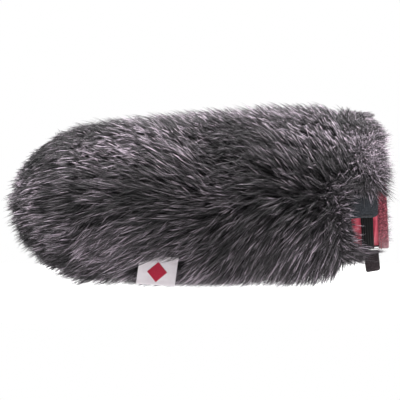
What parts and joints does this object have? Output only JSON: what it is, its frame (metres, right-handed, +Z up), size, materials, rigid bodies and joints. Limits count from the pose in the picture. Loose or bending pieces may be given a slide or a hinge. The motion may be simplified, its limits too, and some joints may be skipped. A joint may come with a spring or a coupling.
{
  "type": "furry windscreen",
  "caption": "Long-pile fur jacket over a foam core with a blind bore; it slips over a microphone to stop wind noise, closed at the mouth by an elastic strap.",
  "frame": {"origin": "centre of the microphone bore's mouth, on the rear face of the core's collar", "axes": "+X towards the open mouth, +Z up, -Y towards the side with the strap and the label; the jacket lies on its side, so the bore's axis rises 3.5 degrees towards +X"},
  "size_m": [0.268, 0.1306, 0.1271],
  "materials": {
    "fur": "long soft pile, dark charcoal with silver tips, matt",
    "backing": "knitted backing, matt",
    "lining": "open spacer mesh, matt",
    "foam": "open-cell foam, matt",
    "rubber": "soft matt rubber",
    "hem_tape": "dark red woven tape",
    "satin": "red satin, soft gloss",
    "elastic": "black ribbed elastic",
    "fastener": "dark grey touch fastener",
    "label_white": "white woven label",
    "label_red": "red woven mark",
    "thread": "dark sewing thread",
    "thread_red": "red sewing thread"
  },
  "bodies": {
    "jacket": {"body_pile": "fur", "nose_pile": "fur", "body_backing": "backing", "nose_backing": "backing", "spacer_lining": "lining", "nose_seam": "thread", "bottom_seam": "backing", "seam_thread": "thread", "hem_binding": "hem_tape", "hem_elastic": "elastic", "hem_stitch": "thread_red", "slit_facing": "satin", "loop_patch": "fastener", "strap_anchor": "thread", "pull_anchor": "thread", "label_stitch": "thread"},
    "core": {"foam_core": "foam", "grip_collar": "rubber"},
    "strap": {"closing_strap": "elastic", "hook_tab": "fastener", "strap_stitch": "thread"},
    "pull_loop": {"pull_tab": "elastic"},
    "seam_label": {"label": "label_white", "label_mark": "label_red"}
  },
  "joints": [
    {"name": "core_pull", "type": "slide", "parent": "jacket", "child": "core", "axis": [0.9981, 0, 0.061], "range_m": [0, 0.27]},
    {"name": "strap_peel", "type": "hinge", "parent": "jacket", "child": "strap", "pos_m": [0.00366, -0.00979, -0.04593], "axis": [0.9981, 0, 0.061], "range_deg": [0, 60]},
    {"name": "pull_swing", "type": "hinge", "parent": "jacket", "child": "pull_loop", "pos_m": [0.00626, -0.0025, -0.04831], "axis": [0.9981, 0, 0.061], "range_deg": [-35, 35]},
    {"name": "label_swing", "type": "hinge", "parent": "jacket", "child": "seam_label", "pos_m": [-0.14381, -0.0166, -0.05168], "axis": [-0.9981, 0, 0.061], "range_deg": [-2, 40]}
  ]
}
